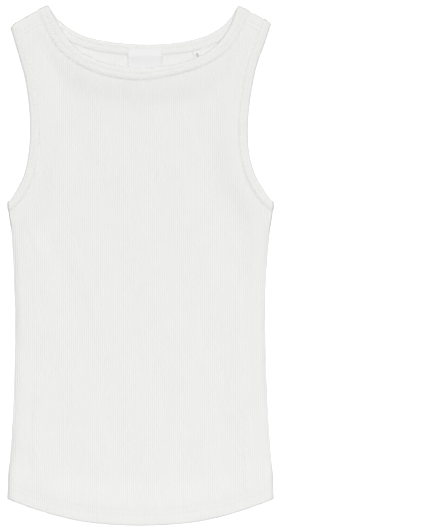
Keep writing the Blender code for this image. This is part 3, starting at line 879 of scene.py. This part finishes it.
def panel(layer):
    """A panel: its hem, side turns and strap ends, and the cloth between."""
    cloth = Cloth()
    sides = {side: side_edge(side) for side in SIDES}
    corners = [sides[side][0][0, 0] for side in ("left", "right")]
    columns = rib_columns(corners[0] + CORNER_CLEAR, corners[1] - CORNER_CLEAR)
    hem_x = np.concatenate([corners[:1], columns, corners[1:]])
    hem = np.column_stack([hem_x, hem_base(hem_x)])
    parts, strap = [hem], {}
    for side in ("right", "left"):
        shares = strap_shares(side)
        if layer == "front":
            top = shoulder_seam(side, YOKE + SEAM_GAP / 2, shares)
            strap[side] = (shares,)
        else:
            top, away = strap_stops(side, shares)
            strap[side] = (shares, top, away)
        arm = arm_edge(side, TOP_STARTS[layer])
        chain = [sides[side][0][1:], arm, top[::-1]]
        if side == "right":
            parts += chain
            parts.append(neck_edge(layer, TOP_STARTS[layer])[::-1])
        else:
            parts += [part[::-1] for part in reversed(chain)]
    outline = np.vstack(parts)
    bounds = np.cumsum([0, *map(len, parts)])
    dips = hem_dip(outline) * (np.arange(len(outline)) >= len(hem))
    index = cloth.add(np.column_stack([outline, level(layer, outline)]), to_pattern(outline), dips)
    spans = [index[a:b] for a, b in zip(bounds, bounds[1:])]
    fill(cloth, layer, outline, index.tolist())
    add_hem(cloth, layer, hem, spans[0])
    for side, edge_span, top_span, corner in (
        ("right", spans[1], spans[3][::-1], spans[0][-1:]),
        ("left", spans[7][::-1], spans[5], spans[0][:1]),
    ):
        edge, radius, height = sides[side]
        add_side(cloth, layer, side, edge, np.concatenate([corner, edge_span]), radius, height)
        add_top = add_yoke if layer == "front" else add_flap
        add_top(cloth, side, *strap[side], top_span)
    return cloth


# --- Bindings ---


def binding_profile(width):
    """The closed section of a binding: each row gives a depth, as a share of the width and a
    distance more, whether it is outside, and which face it is on (1 front, 0 the fold, -1 back).
    Its folded edge rounds over in a width.
    """
    roll = [(0.0, width * (1 - math.cos(angle)), 1) for angle in np.radians(ROLL_ANGLES)]
    rows = [row + step for row in EDGE_ROWS for step in BESIDE_EDGE_ROWS]
    outside = sorted((1.0, -d, 1) for d in (*rows, 0.0, 3.4, 4.8))
    inside = [(1.0, -0.15, 0), (1.0, -5.0, 0), (0.0, CLOTH + INNER * 0.6, 0)]
    half = [*roll, (0.0, 2.6, 1), (0.5, -2.6, 1), *outside, *inside]
    face, back = ([(*row, side) for row in half] for side in (1, -1))
    return np.array([(0.0, 0.0, 1, 0), *face, (0.0, CLOTH, 0, 0), *back[::-1]])


def binding_rise(depth, width, kind, fullness):
    """How far a binding's outside is from the panel's middle at a depth into the cloth."""
    share = 1 - np.clip(depth / ROLLS[kind], 0, 1)
    drop, reach = EDGE_DROPS[kind]
    from_edge = width - depth
    thin = drop * (1 - np.clip(from_edge / reach, 0, 1)) ** 2
    pull = sum(dip(from_edge - row) for row in EDGE_ROWS)
    full = fullness * np.sin(np.clip(depth / width, 0, 1) * math.pi)
    rounded = BINDING_HALF * (1 - share * share) ** ROLL_SHAPES[kind]
    return rounded - thin - pull * np.clip(depth / PULL_FROM, 0, 1) + full


def ring(front, back, ends, first_away, last_away):
    """Frames all round an opening's folded edge, four to a rib: places, inward, normals, widths."""
    spans = [lengths(line)[-1] for line in (front, back)]
    arc = math.pi * FOLD_RADIUS
    total = sum(spans) + 2 * arc
    ribs = round(total / RIB)
    along = (np.arange(ribs)[:, None] + np.array(RIB_PHASES)).ravel() * total / ribs
    starts = np.cumsum([0, spans[0], arc, spans[1]])
    frames = []
    front_ends, back_ends = (
        sections(line, np.array((0.0, span)), ends) for line, span in zip((front, back), spans)
    )
    part = along[along < starts[1]]
    place, inward, width = sections(front, part, ends)
    frames.append((with_width(place, FRONT_BOUND), inward, np.tile(UP, (len(part), 1)), width))
    part = along[(along >= starts[1]) & (along < starts[2])]
    frames.append(turn(front_ends, back_ends, 1, (part - starts[1]) / arc, last_away, 1))
    part = along[(along >= starts[2]) & (along < starts[3])]
    place, inward, width = sections(back, starts[3] - part, ends)
    frames.append((with_width(place, BACK_BOUND), inward, np.tile(-UP, (len(part), 1)), width))
    part = along[along >= starts[3]]
    frames.append(turn(back_ends, front_ends, 0, (part - starts[3]) / arc, first_away, -1))
    places, inward, normals, widths = (np.concatenate(x) for x in zip(*frames))
    return along, np.column_stack([inward, np.zeros(len(inward))]), places, normals, widths, ribs / total


def turn(start, end, which, shares, hint, sign):
    """Frames over the fold at an end of a binding's courses."""
    outward = away_from(start[1][which], hint)
    angle = math.pi * shares[:, None]
    normals = np.hstack([outward * np.sin(angle), sign * np.cos(angle)])
    place = np.append(start[0][which], FOLD_HEIGHT) + normals * FOLD_RADIUS
    inward = unit(start[1][which] + (end[1][which] - start[1][which]) * shares[:, None])
    return place, inward, normals, start[2][which] + (end[2][which] - start[2][which]) * shares


def binding(kind, front, back, ends, first_away, last_away):
    """A binding all round its opening, with ribs across it."""
    along, inward, places, normals, widths, rate = ring(front, back, ends, first_away, last_away)
    profile = binding_profile(ROLLS[kind])
    depth = profile[:, 0] * widths[:, None] + profile[:, 1]
    outer = np.broadcast_to(profile[:, 2] == 1, depth.shape)
    face = profile[:, 3]
    shown = np.clip(normals[:, 2:], 0, 1) * (face > 0)
    rise = binding_rise(depth, widths[:, None], kind, PUFF * shown)
    rib = GROOVE * groove(along * rate)[:, None] * outer
    fold = np.clip(1 - depth / ROLLS[kind], 0, 1)
    height = face * np.where(outer, rise - rib * (1 - fold), np.where(depth < CLOTH + 0.01, 0, INNER))
    depth = depth + rib * fold * outer
    points = places[:, None] + inward[:, None] * depth[..., None] + normals[:, None] * height[..., None]
    count, around = depth.shape
    index = np.arange(count * around).reshape(count, around)
    after, beside = np.roll(index, -1, axis=0), np.roll(index, -1, axis=1)
    both = np.roll(after, -1, axis=1)
    faces = np.stack([x.ravel() for x in (index, beside, both, after)], 1)
    if signed_volume(points.reshape(-1, 3), faces) < 0:
        faces = faces[:, ::-1]
    pattern = np.stack(np.broadcast_arrays(along[:, None] * rate * RIB, face * depth), -1)
    return points.reshape(-1, 3), faces.tolist(), pattern.reshape(-1, 2)


def signed_volume(points, quads):
    a, b, c, d = (points[quads[:, k]] for k in range(4))
    return (np.cross(b - a, c - a) * a).sum() + (np.cross(c - a, d - a) * a).sum()


# --- Stitches ---


def tube(middle, ahead, out, radius, sides, first):
    """A round thread, closed at both ends: its points, and its faces as numbers from a first. Each
    ring has a middle and the directions ahead and out of the cloth.
    """
    across = unit(np.cross(ahead, out))
    fans = np.linspace(0, 2 * math.pi, sides, endpoint=False)[:, None]
    circle = out[:, None] * np.cos(fans) + across[:, None] * np.sin(fans)
    rings = (first + np.arange(len(middle) * sides)).reshape(-1, sides).tolist()
    faces = []
    for a, b in zip(rings, rings[1:]):
        faces += zip(a, a[1:] + a[:1], b[1:] + b[:1], b)
    return (middle[:, None] + circle * radius).reshape(-1, 3), [*faces, rings[0][::-1], rings[-1]]


def stitches(rows):
    """Rows of stitches. Each row is a path in space and the directions out of its cloth."""
    points, faces = [], []
    for path, normals in rows:
        along = travel(path)
        for start in np.arange(STITCH_GAP, along[-1] - STITCH, STITCH + STITCH_GAP):
            where = start + STITCH_SHARES * STITCH
            middle = between(where, along, path)
            out = unit(between(where, along, normals))
            ahead = unit(middle[-1] - middle[0])
            middle = middle + out * STITCH_LIFTS[:, None]
            first = len(points) * len(STITCH_SHARES) * STITCH_SIDES
            added, joined = tube(middle, ahead, out, THREAD, STITCH_SIDES, first)
            points.append(added)
            faces += joined
    points = np.vstack(points)
    return points, faces, points[:, :2]


def binding_rows(kind, line, ends, layer, face, trim):
    """The two rows of stitches on one face of a binding's course, short of its ends by a trim."""
    distance = np.arange(trim, lengths(line)[-1] - trim, 1.0)
    places, inward, widths = sections(line, distance, ends)
    height = FRONT_BOUND if layer == "front" else BACK_BOUND
    full = PUFF if layer == "front" and face > 0 else 0.0
    rows = []
    for row in EDGE_ROWS:
        plan = places + inward * (widths - row)[:, None]
        rise = binding_rise(widths - row, widths, kind, full) + ROW_LIFT * face
        rows.append((with_width(plan, height + face * rise), np.tile(UP * face, (len(plan), 1))))
    return rows


def outer_rows(kind, front, back, ends):
    """The rows on the outsides of a binding's two courses."""
    rows = binding_rows(kind, front, ends, "front", 1, ROW_TRIM)
    return rows + binding_rows(kind, back, ends, "back", -1, ROW_TRIM)


def panel_row(layer, plan, depth):
    """A row of stitches on the outside of a panel, sunk in by a depth."""
    face = FACES[layer]
    lift = level(layer, plan) + face * (HALF - depth)
    return np.column_stack([plan, lift]), np.tile(UP * face, (len(plan), 1))


# --- Label and tab ---


def eased(path):
    """Closely spaced points along a path in space, with its corners eased."""
    along = travel(path)
    line = between(np.linspace(0, along[-1], round(along[-1] / STRIP_STEP) + 1), along, path)
    soft = line.copy()
    for k in range(3):
        before, after = 2 * line[0, k] - line[2:0:-1, k], 2 * line[-1, k] - line[-2:-4:-1, k]
        soft[:, k] = np.convolve(np.concatenate([before, line[:, k], after]), EASING, "valid")
    return soft


def strip(path, across, width, cells):
    """A straight-sided strip of woven cloth along a path, thinner at its edges."""
    along = eased(path)
    shares = np.linspace(-1, 1, cells)
    shares = np.sign(shares) * np.abs(shares) ** STRIP_CROWD
    middle = along[:, None] + np.append(across, 0.0) * (shares * width / 2)[None, :, None]
    run = travel(along)
    from_side = (1 - np.abs(shares)) * width / 2
    from_end = np.minimum(run, run[-1] - run)
    edge = np.clip(np.minimum(from_side[None], from_end[:, None]) / STRIP_ROLL, 0, 1)
    thick = (HALF * np.sqrt(np.clip(1 - (1 - edge) ** 2, STRIP_THIN, 1))).ravel()
    cloth = Cloth()
    pattern = np.stack(np.broadcast_arrays((shares * width / 2)[None], run[:, None]), -1)
    cloth.grid(cloth.add(middle, pattern))
    return shell(cloth, thick, thick, UP)


# --- Materials ---


class Paint:
    """A material and its nodes."""

    def __init__(self, name, surface):
        self.made = bpy.data.materials.new(name)
        self.made.use_nodes = True
        self.shader = self.made.node_tree.nodes["Principled BSDF"]
        self.feed(self.shader, surface)

    def feed(self, node, inputs):
        """Give a node's inputs their values, or links from other nodes."""
        for key, value in inputs.items():
            if isinstance(value, bpy.types.NodeSocket):
                self.made.node_tree.links.new(value, node.inputs[key])
            else:
                node.inputs[key].default_value = value

    def node(self, kind, inputs, **settings):
        """Add a node and give its outputs."""
        node = self.made.node_tree.nodes.new("ShaderNode" + kind)
        for key, value in settings.items():
            setattr(node, key, value)
        self.feed(node, inputs)
        return node.outputs

    def cut(self):
        """Where a place is in the piece's cut, in millimetres."""
        return self.node("UVMap", {}, uv_map="cut")["UV"]

    def maths(self, operation, *values):
        return self.node("Math", dict(enumerate(values)), operation=operation)[0]

    def bump(self, height, strength, distance):
        raised = {"Height": height, "Strength": strength, "Distance": distance}
        self.feed(self.shader, {"Normal": self.node("Bump", raised)["Normal"]})

    def tint(self, share, first, second, blend="MIX"):
        """Colour the surface with a share of a second colour on the first."""
        mixed = self.node("Mix", {0: share, 6: first, 7: second}, data_type="RGBA", blend_type=blend)
        self.feed(self.shader, {"Base Color": mixed[2]})


def darker(colour, share):
    return (*(c * share for c in colour[:3]), 1.0)


def knit(name, colour, loop):
    """Rib knit: matt cotton with a loop to each course, a faint mottle, and painted shade that darkens each
    groove's colour towards its middle.
    """
    surface = {"Roughness": 0.92, "Specular IOR Level": 0.25, "Sheen Weight": 0.04, "Sheen Roughness": 0.5}
    paint = Paint(name, surface)
    maths, cut = paint.maths, paint.cut()
    place = paint.node("SeparateXYZ", {0: cut})
    # Two legs of a loop lean to each other across the rib.
    lean = maths("ABSOLUTE", maths("SUBTRACT", maths("FRACT", maths("DIVIDE", place["X"], RIB)), 0.5))
    rise = maths("ADD", maths("DIVIDE", place["Y"], loop), maths("MULTIPLY", lean, 1.3))
    legs = maths("SINE", maths("MULTIPLY", rise, 2 * math.pi))
    fine = paint.node("TexNoise", {"Vector": cut, "Scale": 2.1, "Detail": 4.0, "Roughness": 0.6})["Fac"]
    height = maths("ADD", maths("MULTIPLY", legs, 0.35), maths("MULTIPLY", fine, 1.2))
    paint.bump(height, 0.35, 0.00012)
    broad = paint.node("TexNoise", {"Vector": cut, "Scale": 0.035, "Detail": 3.0})["Fac"]
    # Painted shade: the colour is up to 9 per cent darker towards the middle of each groove, on top of the
    # real groove in the shell; the yarn's real mottle is added to it below.
    ramp = {"Value": lean, "From Min": 0.34, "From Max": 0.5, "To Min": 0.0, "To Max": 1.0}
    painted_groove_shade = paint.node("MapRange", ramp)["Result"]
    painted_shade_and_mottle = maths("ADD", maths("MULTIPLY", painted_groove_shade, -0.09), 1.0)
    for mottle, strength in ((broad, 0.02), (fine, 0.04)):
        painted_shade_and_mottle = maths("ADD", painted_shade_and_mottle, maths("MULTIPLY", maths("SUBTRACT", mottle, 0.5), strength))
    paint.tint(1.0, colour, painted_shade_and_mottle, "MULTIPLY")
    return paint.made


def woven(name, colour, pitch):
    """A satin-woven tape."""
    paint = Paint(name, {"Roughness": 0.55, "Sheen Weight": 0.1})
    wave = {"Vector": paint.cut(), "Scale": 1 / pitch / 3.0, "Distortion": 0.6}
    waves = (paint.node("TexWave", wave, bands_direction=axis)["Fac"] for axis in ("X", "Y"))
    weave = paint.maths("MULTIPLY", *waves)
    paint.bump(weave, 0.3, 0.00008)
    paint.tint(weave, darker(colour, 0.96), colour)
    return paint.made


def thread(name, colour):
    """Twisted thread."""
    paint = Paint(name, {"Roughness": 0.6})
    twist = paint.node("TexWave", {"Vector": paint.cut(), "Scale": 1.6}, bands_direction="DIAGONAL")
    paint.tint(twist["Fac"], darker(colour, 0.93), colour)
    return paint.made


# --- The garment ---

COTTON = (0.800, 0.800, 0.784, 1.0)
TAPE = (0.795, 0.795, 0.795, 1.0)
THREAD_WHITE = (0.74, 0.74, 0.735, 1.0)
THREAD_DARK = (0.02, 0.02, 0.022, 1.0)
LOOPS = {"panel": 1.5, "binding": 1.3}  # the height of a loop
WEAVE = 0.45

panel_knit = knit("rib_knit", COTTON, LOOPS["panel"])
binding_knit = knit("binding_knit", COTTON, LOOPS["binding"])
tape = woven("label_tape", TAPE, WEAVE)
cotton_thread = thread("cotton_thread", THREAD_WHITE)
dark_thread = thread("dark_thread", THREAD_DARK)


def dress(name, shape, material, slot, *nodes):
    """Add a piece to the garment, in the place of its solids."""
    piece = add_piece(name, *shape, material)
    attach(piece, "root")
    if nodes:
        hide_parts(*nodes)


for layer, face in FACES.items():
    dress(f"{layer}_cloth", wall(panel(layer), UP * face), panel_knit, "knit", f"{layer}_panel")

neck_front, neck_back = NECK_LINES["front"], NECK_LINES["back"]
shape = binding("neck", neck_front, neck_back, NECK_ENDS, NORTH, NORTH)
dress("neck_band", shape, binding_knit, "binding", "neck_binding")
for side, sign in SIDES.items():
    line = ARM_LINES[side]
    shape = binding("arm", line, line, ENDS[side], NORTH, EAST * sign)
    dress(f"armhole_band_{side}", shape, binding_knit, "binding", f"armhole_binding_{side}")

rows = outer_rows("neck", neck_front, neck_back, NECK_ENDS)
rows += binding_rows("neck", neck_back, NECK_ENDS, "back", 1, COLLAR_TRIM)
dress("neck_stitches", stitches(rows), cotton_thread, "binding")
for side, line in ARM_LINES.items():
    rows = outer_rows("arm", line, line, ENDS[side])
    dress(f"armhole_stitches_{side}", stitches(rows), cotton_thread, "binding")

x = np.arange(-HEM_REACH, HEM_REACH + 0.1, 1.0)
rows = [
    panel_row(layer, np.column_stack([x, hem_up(x) + up]), ROW_DEPTHS["hem"])
    for layer in FACES
    for up in HEM_ROWS_UP
]
dress("hem_stitches", stitches(rows), cotton_thread, "knit")
rows = [
    panel_row("front", shoulder_seam(side, SHOULDER_ROW, TOPSTITCH), ROW_DEPTHS["shoulder"])
    for side in SIDES
]
dress("shoulder_stitches", stitches(rows), cotton_thread, "knit")

label_path = np.array([(LABEL_MIDDLE, *row) for row in LABEL_ROWS])
shape = strip(label_path, EAST, LABEL_WIDTH, STRIP_CELLS["label"])
dress("label", shape, tape, "label", "neck_label")
rows = []
for edge in (-1, 1):
    shift = (edge * (LABEL_WIDTH / 2 - LABEL_MARGIN), 0.0, HALF - ROW_DEPTHS["label"])
    path = eased(label_path)[3:-3] + np.array(shift)
    rows.append((path, np.tile(UP, (len(path), 1))))
dress("label_stitches", stitches(rows), cotton_thread, "label")

reach = np.interp(TAB_MIDDLE, neck_back[:, 0], lengths(neck_back))
place, inward, _ = sections(neck_back, np.array([reach]), NECK_ENDS)
start = BACK_NECK_BAND + GAP
plan = place + inward * np.array((start, HOLD, start + TAB_LENGTH))[:, None]
tab_path = np.column_stack([plan, level("back", plan) + PLY])
across, down = square(inward[0]), np.append(inward[0], 0.0)
dress("tab", strip(tab_path, across, TAB_WIDTH, STRIP_CELLS["tab"]), tape, "label", "size_tab")

# A generic size letter, as one bent thread that follows the tab's surface.
middle = tab_path[0] + down * LETTER_DOWN
letter = np.array([middle + np.append(across, 0.0) * x - down * y for x, y in LETTER])
tab_line = eased(tab_path)
heights = np.interp((letter - tab_path[0]) @ down, (tab_line - tab_path[0]) @ down, tab_line[:, 2])
letter[:, 2] = heights + HALF + LETTER_LIFT
steps = unit(np.diff(letter, axis=0))
ahead = unit(np.vstack([steps[:1], steps]) + np.vstack([steps, steps[-1:]]))
outs = np.tile(UP, (len(letter), 1))
points, faces = tube(letter, ahead, outs, LETTER_THREAD, LETTER_SIDES, 0)
dress("tab_letter", (points, faces, points[:, :2]), dark_thread, "label")

# --- Floor, light and camera ---

CAMERA_AT = (0.0986, 0.0004)  # the middle of the picture, to the right of the garment's own
VIEW_TALL = 0.6585  # what the picture's long side spans at the cloth
LENS = 300.0
SENSOR = 36.0

FLOOR_REACH = 4.0
FLOOR_LEVEL = -0.0002
WHITE = (1.0, 1.0, 1.0, 1.0)
FLOOR_PAINT = {
    "Base Color": (0.98, 0.98, 0.98, 1.0),
    "Roughness": 1.0,
    "Specular IOR Level": 0.0,
    "Emission Color": WHITE,
    "Emission Strength": 0.3,
}
# Wide soft lights far off: name, energy, and in degrees spread, tilt to the neck end and turn.
SUNS = (("overhead", 2.185, 26, 5, -25), ("window", 0.7, 24, 46, -8))
FILL_AT = Vector((0.2, -0.45, 0.9))
FILL_TO = Vector((0.1, -0.3, 0.0))
FILL_SIZE = 0.5
FILL_ENERGY = 0.52
SURROUND = 0.2

corners = [(x * FLOOR_REACH, y * FLOOR_REACH, FLOOR_LEVEL) for x, y in ((-1, -1), (1, -1), (1, 1), (-1, 1))]
floor_mesh = bpy.data.meshes.new("floor")
floor_mesh.from_pydata(corners, [], [(0, 1, 2, 3)])
floor = placed("floor", floor_mesh)
floor_mesh.materials.append(Paint("floor_white", FLOOR_PAINT).made)
floor.visible_diffuse = False

for name, energy, spread, tilt, turned_by in SUNS:
    light = bpy.data.lights.new(name, "SUN")
    light.energy = energy
    light.angle = math.radians(spread)
    placed(name, light).rotation_euler = (math.radians(-tilt), 0.0, math.radians(turned_by))
light = bpy.data.lights.new("hem_fill", "AREA")
light.shape = "SQUARE"
light.size = FILL_SIZE
light.energy = FILL_ENERGY
hem_fill = placed("hem_fill", light)
hem_fill.location = FILL_AT
hem_fill.rotation_mode = "QUATERNION"
hem_fill.rotation_quaternion = (FILL_TO - FILL_AT).to_track_quat("-Z", "Y")
hem_fill.visible_camera = False
world = bpy.data.worlds.new("studio")
world.use_nodes = True
world.node_tree.nodes["Background"].inputs["Color"].default_value = WHITE
world.node_tree.nodes["Background"].inputs["Strength"].default_value = SURROUND
bpy.context.scene.world = world
bpy.context.scene.view_settings.view_transform = "Standard"

camera_data = bpy.data.cameras.new("camera")
camera_data.lens = LENS
camera_data.sensor_width = SENSOR
camera = placed("camera", camera_data)
camera.location = (*CAMERA_AT, VIEW_TALL * LENS / SENSOR)
bpy.context.scene.camera = camera
